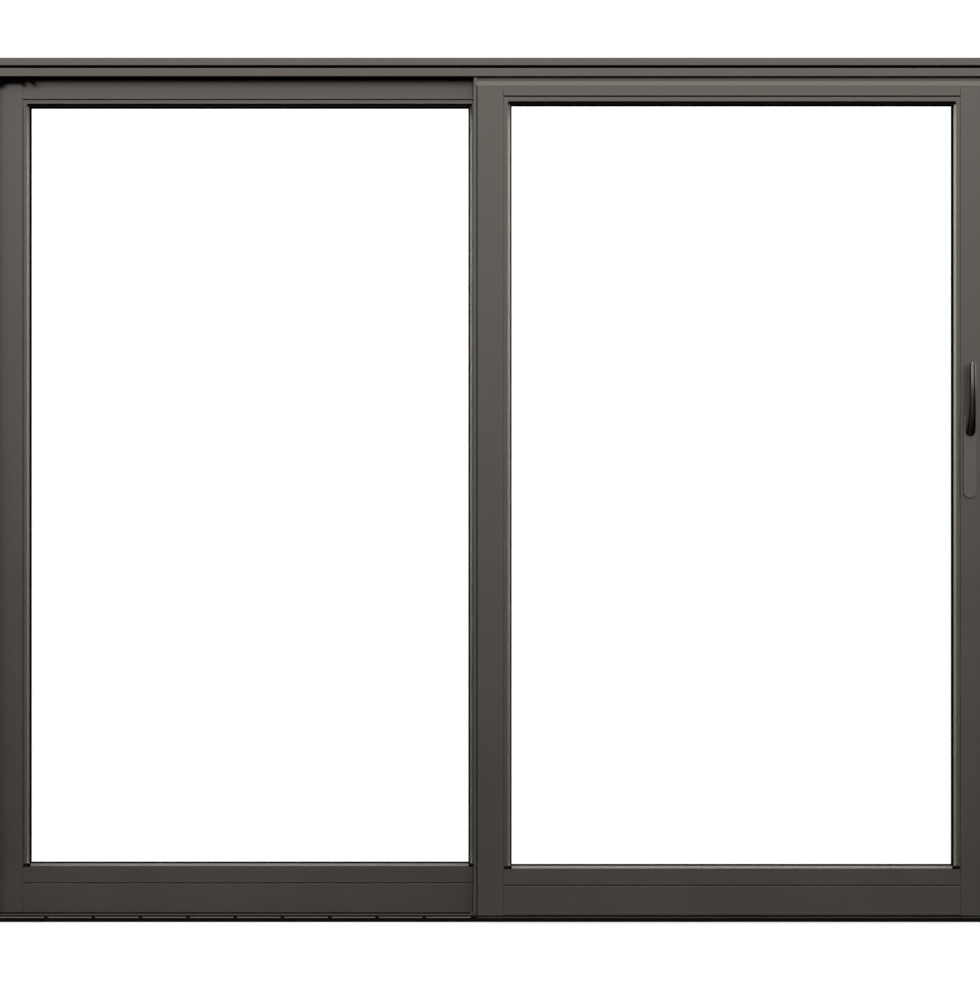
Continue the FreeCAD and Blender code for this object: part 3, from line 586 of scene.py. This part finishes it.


# Thin black strips between the frame's parts and black inserts in the drain cover's slots: painted shade in
# the head's groove, in the gaps along the sill and in the slots

shadeStrips = {
    "ribs": 3,
    "ribDepth": 0.0003,
    "revealDepth": 0.0060,  # from the frame's face back to the black strip in the head's reveal, painted shade in that groove
    "revealThickness": 0.004,
    "revealHeight": 0.0064,
    "revealLift": 0.0001,
    "step": (0.0064, 0.0079, 0.0100, 0.0156),  # front, back, foot and top of the black strip below the fixed panel, painted shade in the gap there
    "lip": (-0.0567, -0.0563, 0.0114, 0.0128),  # and of the one on the sill's lip, on the right, painted shade under the sliding panel
    "cover": (-0.0584, -0.0578, 0.0119, 0.0134),  # and of the one along the drain cover, painted shade there
    "slotPitch": 0.1105,
    "slotStart": -1.0381,
    "slotCount": 9,
    "slotSize": (0.0068, 0.0048),
    "slotFront": 0.0003,  # before and behind the drain cover's face
    "slotBack": 0.0012,
    "slotRounding": 0.0003,
    "jambInset": 0.022,
    "plugInset": 0.018,
    "coverInset": 0.001,
}


# A ribbed strip from one side to the other
def shadeStrip(shape, left, right, front, back, foot, top):
    ribs = shadeStrips["ribs"]
    valley = front + shadeStrips["ribDepth"]
    outline = []
    for rib in range(ribs):
        low = foot + (top - foot) * rib / ribs
        high = foot + (top - foot) * (rib + 1) / ribs
        outline += [(left, valley, low), (left, front, (low + high) / 2)]
    outline += [(left, valley, top), (left, back, top), (left, back, foot)]
    pushOutline(shape, outline, (right - left, 0.0, 0.0))


def makeShadeStrips():
    values = shadeStrips
    black = finishes["black_rubber"]
    fasciaLow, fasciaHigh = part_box("head_fascia")
    drainLow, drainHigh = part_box("drain_cover")
    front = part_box("head")[0][1] + values["revealDepth"]
    back = front + values["revealThickness"]
    foot = fasciaHigh[2] + values["revealLift"]
    # Black strip in the head's reveal: painted shade in that groove
    shape = bmesh.new()
    shadeStrip(shape, fasciaLow[0], fasciaHigh[0], front, back, foot, foot + values["revealHeight"])
    addPiece("revealShadeStrip", shape, black, "frame")

    left, right = fasciaLow[0] + values["jambInset"], fasciaHigh[0] - values["jambInset"]
    inset = values["coverInset"]
    # Black strips below the fixed panel, on the sill's lip and along the drain cover: painted shade
    shape = bmesh.new()
    shadeStrip(shape, left, drainHigh[0], *values["step"])
    shadeStrip(shape, drainHigh[0] + values["plugInset"], right, *values["lip"])
    shadeStrip(shape, drainLow[0] + inset, drainHigh[0] - inset, *values["cover"])
    addPiece("sillShadeStrips", shape, black, "frame")

    # Black inserts in the drain cover's slots: painted shade in the slots
    wide, high = values["slotSize"]
    front, back = drainLow[1] - values["slotFront"], drainLow[1] + values["slotBack"]
    middle = (drainLow[2] + drainHigh[2]) / 2
    shape = bmesh.new()
    for count in range(values["slotCount"]):
        across = values["slotStart"] + count * values["slotPitch"]
        low = (across - wide / 2, front, middle - high / 2)
        addBar(shape, low, (across + wide / 2, back, middle + high / 2), values["slotRounding"])
    addPiece("drainSlotShades", shape, black, "frame")


makeShadeStrips()
print("frame seals made")


# Glazing gaskets, rail noses and bead bridges of both panels. The black lips are gaskets that also cover the
# beads' bevels as painted shade; the black corner pads and joint lines are painted shade. They are measured
# from the panel's face, the stiles' inner edges and the sight lines

glazing = {
    "proud": 0.0003,
    "topLip": (0.0071, 0.0050, -0.0038),  # crown, knee and foot above the upper sight line
    "topLipDepth": (0.0145, 0.0165),
    "topLipInset": 0.0094,  # from a stile's inner edge
    "topLipMitre": 0.8,
    "gasketEdge": 0.0183,  # from a stile's inner edge
    "sideLipOverlap": 0.0012,
    "sideLipDepth": (0.0005, 0.0029),  # from the gasket's face
    "sideLipRunout": 0.001,
    "sideLipRounding": 0.00025,
    # black pads at the lower corners, painted shade under the side beads' ends
    "cornerShade": (  # from the stile's edge towards the glass, and up from the lower sight line
        (0.0003, -0.0036), (0.0120, -0.0028), (0.0150, 0.0012), (0.0186, 0.0012),
        (0.0186, -0.0072), (0.0003, -0.0072),
    ),
    "cornerDepth": 0.0035,
    "bridge": (
        (0.0003, 0.0066), (0.0092, 0.0066), (0.0107, 0.0040), (0.0107, -0.0020), (0.0003, -0.0020),
    ),
    "bridgeDepth": 0.0012,
    # black lines along the bead joints, painted shadow in those joints
    "lowerJoint": 0.0009,
    "upperJoint": 0.0025,
    "jointInset": 0.0004,
    "jointDepth": 0.001,
    "noseHeight": 0.0060,
    "noseProud": 0.0001,  # before the joint
    "rounding": 0.0002,
}

panels = {  # side lips left and right, and how far the upper joint lies below the top of the bead
    "fixed": {"body": "frame", "lips": (0.0017, 0.0010), "jointDrop": 0.0034},
    "sliding": {"body": "sliding_panel", "lips": (0.0, 0.0024), "jointDrop": 0.0011},
}


# The black lip over the glass, with mitred ends: a glazing gasket that also covers the top bead's lower
# bevel as painted shade
def addTopLip(shape, left, right, face, sightLine):
    values = glazing
    proud = face - values["proud"]
    crown, knee, foot = [sightLine + height for height in values["topLip"]]
    inner, back = [face + depth for depth in values["topLipDepth"]]
    inset = values["topLipInset"]
    section = ((proud, crown), (proud, knee), (inner, foot), (back, foot), (back, crown))
    outline = [(left + inset, through, up) for through, up in section]
    near, far = pushOutline(shape, outline, (right - left - 2 * inset, 0.0, 0.0))
    for ends, turn in ((near, 1), (far, -1)):
        for vert in ends:
            vert.co.x += turn * (crown - vert.co.z) * values["topLipMitre"]


def makeGlazing(panel):
    values = glazing
    body = panels[panel]["body"]
    lowerLow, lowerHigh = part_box(panel + "_bottom_bead")
    upperLow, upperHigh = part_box(panel + "_top_bead")
    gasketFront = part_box(panel + "_gasket")[0][1]
    left, face = lowerLow[0], lowerLow[1]
    right = lowerHigh[0]
    sides = ((1, left), (-1, right))  # the way towards the glass, and the stile's inner edge
    proud = face - values["proud"]

    shape = bmesh.new()
    addTopLip(shape, left, right, face, upperLow[2])
    # Black side lips beside the glass: glazing gasket, widened by painted shade
    front, back = [gasketFront + depth for depth in values["sideLipDepth"]]
    runout = values["sideLipRunout"]
    for (side, edge), lip in zip(sides, panels[panel]["lips"]):
        if lip:
            inside = edge + side * (values["gasketEdge"] - values["sideLipOverlap"])
            outside = edge + side * (values["gasketEdge"] + lip)
            low = (min(inside, outside), front, lowerHigh[2] - runout)
            high = (max(inside, outside), back, upperLow[2] + runout)
            addBar(shape, low, high, values["sideLipRounding"])
    # Black pads at the lower corners: painted shade under the side beads' ends
    for side, edge in sides:
        outline = [(edge + side * across, proud, lowerHigh[2] + up) for across, up in values["cornerShade"]]
        pushOutline(shape, outline, (0.0, values["cornerDepth"], 0.0))
    start, end = left + values["jointInset"], right - values["jointInset"]
    back = face + values["jointDepth"]
    joint = upperHigh[2] - panels[panel]["jointDrop"]
    # Black lines in the lower and upper bead joints: painted shadow in those joints
    for height, half in ((lowerLow[2], values["lowerJoint"] / 2), (joint, values["upperJoint"] / 2)):
        addBar(shape, (start, proud, height - half), (end, back, height + half), values["rounding"])
    addPiece(panel + "GlazingGasketsAndShade", shape, finishes["black_rubber"], body)

    shape = bmesh.new()
    foot = joint + values["upperJoint"] / 2
    low = (start, proud - values["noseProud"], foot)
    addBar(shape, low, (end, back, foot + values["noseHeight"]), values["rounding"])
    addPiece(panel + "RailNose", shape, finishes["rails"], body)

    shape = bmesh.new()
    for side, edge in sides:
        outline = [(edge + side * across, proud, upperLow[2] + up) for across, up in values["bridge"]]
        near, far = pushOutline(shape, outline, (0.0, values["bridgeDepth"], 0.0))
        soften(shape, edgesAmong(shape, near), values["rounding"])
    addPiece(panel + "BeadBridges", shape, finishes["uprights"], body)


for panel in panels:
    makeGlazing(panel)
print("glazing made")


# Trims: a black liner in the left jamb's channel as painted shade, a black strip at the jamb's inner edge
# that shades the fixed panel's left edge, black strips down the meeting stiles as painted shadow in their
# gaps, the strip before the guide and the cap over it

trims = {
    "liner": ((-1.1909, -0.0525, 0.05), (-1.1899, 0.0076, 1.95)),  # two corners
    "linerRounding": 0.0003,
    "stileSeal": ((-1.1568, -0.0062, 0.02), (-1.1553, 0.0122, 1.955)),
    "stileSealRounding": 0.0004,
    "gapWidth": 0.0009,
    "gapProud": 0.0002,  # before and behind the stile's face
    "gapDepth": 0.0008,
    "gapInset": 0.001,
    "gapRounding": 0.0001,
    "slidingGap": -0.0302,
    "fixedGap": -0.0408,
    "guideStrip": (-0.0381, -0.0301),
    "stripProud": 0.0002,  # before and behind the stile's face
    "stripDepth": 0.006,
    "stripHeights": (0.0002, 0.0202),  # above the stile's top
    "stripRounding": 0.0006,
    "guideCap": (  # behind the guide's face and above the stile's top
        (0.0002, 0.0015), (0.0004, 0.0013), (0.0060, 0.0013), (0.0060, 0.0114), (0.0013, 0.0114),
    ),
    "capInset": 0.0004,
}


# A thin black strip down a meeting stile: painted shadow of the gap there
def addGapShadow(shape, stile, middle):
    values = trims
    low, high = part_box(stile)
    half = values["gapWidth"] / 2
    foot, top = low[2] + values["gapInset"], high[2] - values["gapInset"]
    corner = (middle - half, low[1] - values["gapProud"], foot)
    addBar(shape, corner, (middle + half, low[1] + values["gapDepth"], top), values["gapRounding"])


def makeTrims():
    values = trims
    stileLow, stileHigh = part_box("sliding_meeting_stile")
    shape = bmesh.new()
    # Black liner in the left jamb's channel: painted shade there; the black strip at the jamb's inner edge
    # shades the fixed panel's left edge
    addBar(shape, *values["liner"], values["linerRounding"])
    addBar(shape, *values["stileSeal"], values["stileSealRounding"])
    addGapShadow(shape, "fixed_meeting_stile", values["fixedGap"])
    addPiece("frameTrims", shape, finishes["black_rubber"], "frame")

    shape = bmesh.new()
    addGapShadow(shape, "sliding_meeting_stile", values["slidingGap"])
    addPiece("slidingTrims", shape, finishes["black_rubber"], "sliding_panel")

    shape = bmesh.new()
    left, right = values["guideStrip"]
    foot, top = [stileHigh[2] + height for height in values["stripHeights"]]
    low = (left, stileLow[1] - values["stripProud"], foot)
    addBar(shape, low, (right, stileLow[1] + values["stripDepth"], top), values["stripRounding"])
    addPiece("guideStrip", shape, finishes["uprights"], "sliding_panel")

    guideLow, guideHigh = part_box("top_guide")
    start = guideLow[0] + values["capInset"]
    shape = bmesh.new()
    outline = [(start, guideLow[1] + back, stileHigh[2] + up) for back, up in values["guideCap"]]
    pushOutline(shape, outline, (guideHigh[0] - values["capInset"] - start, 0.0, 0.0))
    addPiece("guideCap", shape, finishes["rails"], "sliding_panel")


makeTrims()
print("trims made")


# Screws of the faceplate, the keeper and the jambs

screws = {
    "segments": 28,
    "small": (0.0032, 0.0005),  # radius and depth
    "large": (0.0048, 0.0014),
    "rim": (0.25, 0.4),  # inward and outward, in shares of the radius and of the depth
    "land": (0.3, 0.0),
    "socket": (0.02, -0.8),
    "endDistance": 0.012,
    "jambHeights": (0.4, 1.6),
    "jambPlaces": ((-1.1899, -0.028, 1), (1.1911, 0.033, -1)),  # across, through, and the way it looks
}


def addScrew(shape, place, side, size):
    values = screws
    radius, depth = size
    ring = bmesh.ops.create_circle(shape, cap_ends=True, segments=values["segments"], radius=radius)["verts"]
    bmesh.ops.rotate(shape, verts=ring, matrix=Matrix.Rotation(math.radians(90.0 * side), 3, "Y"))
    bmesh.ops.translate(shape, verts=ring, vec=place)
    disc = list({face for vert in ring for face in vert.link_faces})
    grown = bmesh.ops.extrude_face_region(shape, geom=disc)["geom"]
    bmesh.ops.translate(shape, verts=vertsOf(grown), vec=(side * depth, 0.0, 0.0))
    head = facesOf(grown)
    for inward, outward in (values["rim"], values["land"], values["socket"]):
        bmesh.ops.inset_region(shape, faces=head, thickness=radius * inward, depth=depth * outward)


def makeScrews():
    values = screws
    for node, body, side in (("lock_faceplate", "sliding_panel", 1), ("lock_keeper", "frame", -1)):
        low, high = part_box(node)
        across = high[0] if side > 0 else low[0]
        shape = bmesh.new()
        for height in (low[2] + values["endDistance"], high[2] - values["endDistance"]):
            addScrew(shape, (across, (low[1] + high[1]) / 2, height), side, values["small"])
        addPiece(node.replace("lock_", "") + "Screws", shape, finishes["steel"], body)

    shape = bmesh.new()
    for height in values["jambHeights"]:
        for across, through, side in values["jambPlaces"]:
            addScrew(shape, (across, through, height), side, values["large"])
    addPiece("jambScrews", shape, finishes["steel"], "frame")


makeScrews()
print("screws made")


# Studio

studio = {
    "floorRadius": 2.5,
    "floorPoints": 96,
    "floorMiddle": (0.0, -1.1, -0.0005),
    "floorTone": (0.6, 0.6, 0.595, 1.0),
    "floorRoughness": 0.6,
    "background": 1.3,  # what the eye sees behind the door
    "front": 2.07,  # soft light towards the door's two faces
    "sides": 9.0,
    "sideWidth": 3.5,  # a power; a larger one keeps that light closer to the sides
    "overhead": 3.6,
    "lightFoot": (-0.015, 0.11),  # the tent fades in between these heights above the horizon
    "sideFoot": (-0.06, 0.11),
    "floorGlow": 0.16,  # what the far floor sends back
    "glowTop": (-0.12, -0.26),
    "glowFoot": (-0.42, -0.6),
}


# White behind the door for the eye, and a soft tent of light above the floor for the surfaces
def makeWorld():
    values = studio
    world = bpy.data.worlds.new("studio")
    world.use_nodes = True
    world.node_tree.nodes.clear()
    tent = NodeTree(world.node_tree)
    direction = tent.add("ShaderNodeTexCoord", {}, {}, "Generated")
    across, through, upward = [
        tent.add("ShaderNodeSeparateXYZ", {}, {0: direction}, axis) for axis in ("X", "Y", "Z")
    ]

    def fade(ends):
        inputs = {"Value": upward, "From Min": ends[0], "From Max": ends[1]}
        return tent.add("ShaderNodeMapRange", {"interpolation_type": "SMOOTHSTEP"}, inputs)

    sides = (across * across) ** values["sideWidth"] * values["sides"]
    faces = through * through * values["front"]
    glow = fade(values["glowTop"]) * (1.0 - fade(values["glowFoot"])) * values["floorGlow"]
    tentLight = fade(values["lightFoot"]) * (faces + upward * upward * values["overhead"])
    level = glow + tentLight + fade(values["sideFoot"]) * sides
    white = (1.0, 1.0, 1.0, 1.0)
    lit = tent.add("ShaderNodeBackground", {}, {"Color": white, "Strength": level})
    seen = tent.add("ShaderNodeBackground", {}, {"Color": white, "Strength": values["background"]})
    eye = tent.add("ShaderNodeLightPath", {}, {}, "Is Camera Ray")
    mixed = tent.add("ShaderNodeMixShader", {}, {0: eye, 1: lit, 2: seen})
    tent.add("ShaderNodeOutputWorld", {}, {"Surface": mixed})
    bpy.context.scene.world = world


# The floor only shows itself: it neither lights the door nor mirrors in it
def makeFloor():
    values = studio
    shape = bmesh.new()
    points, radius = values["floorPoints"], values["floorRadius"]
    bmesh.ops.create_circle(shape, cap_ends=True, segments=points, radius=radius)
    bmesh.ops.translate(shape, verts=shape.verts, vec=values["floorMiddle"])
    mesh = bpy.data.meshes.new("floor")
    shape.to_mesh(mesh)
    shape.free()
    constants = {"Base Color": values["floorTone"], "Roughness": values["floorRoughness"]}
    mesh.materials.append(Finish("pale floor", constants).material)
    floor = bpy.data.objects.new("floor", mesh)
    bpy.context.scene.collection.objects.link(floor)
    floor.visible_diffuse = False
    floor.visible_glossy = False


camera = {
    "place": (0.0, -9.579, 1.0075),
    "lens": 149.6,
    "sensor": 36.0,
}


def makeCamera():
    view = bpy.data.cameras.new("camera")
    view.lens = camera["lens"]
    view.sensor_width = camera["sensor"]
    holder = bpy.data.objects.new("camera", view)
    holder.location = camera["place"]
    holder.rotation_euler = (math.radians(90.0), 0.0, 0.0)
    bpy.context.scene.collection.objects.link(holder)
    bpy.context.scene.camera = holder


makeWorld()
makeFloor()
makeCamera()
bpy.context.scene.view_settings.view_transform = "Standard"
print("studio ready")
